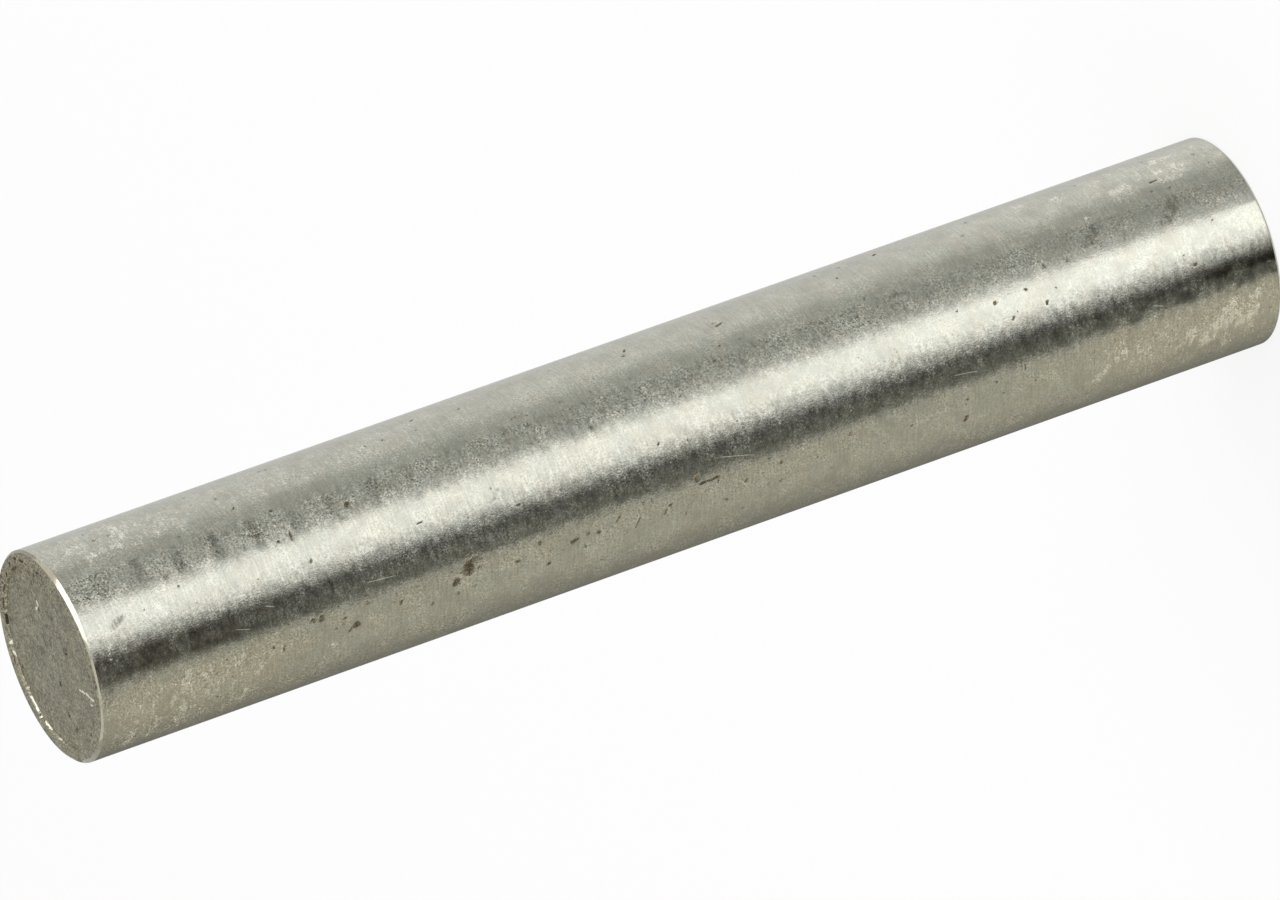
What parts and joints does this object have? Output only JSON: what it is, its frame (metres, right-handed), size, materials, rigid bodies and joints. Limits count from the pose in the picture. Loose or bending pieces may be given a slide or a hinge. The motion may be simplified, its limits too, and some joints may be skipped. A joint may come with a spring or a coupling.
{
  "type": "axle pin",
  "caption": "Plain round steel axle pin with broken edges and a shallow facing recess in its head, made to carry a wheel, roller or lever.",
  "frame": {"origin": "centre of the foot face, on the pin's axis", "axes": "+Z along the pin's axis, from the foot up to the faced head; X and Y are across the pin and alike"},
  "size_m": [0.012, 0.012, 0.073],
  "materials": {
    "steel": "ground and dulled, with specks of rust"
  },
  "bodies": {
    "root": {"axle_pin": "steel"}
  },
  "joints": []
}
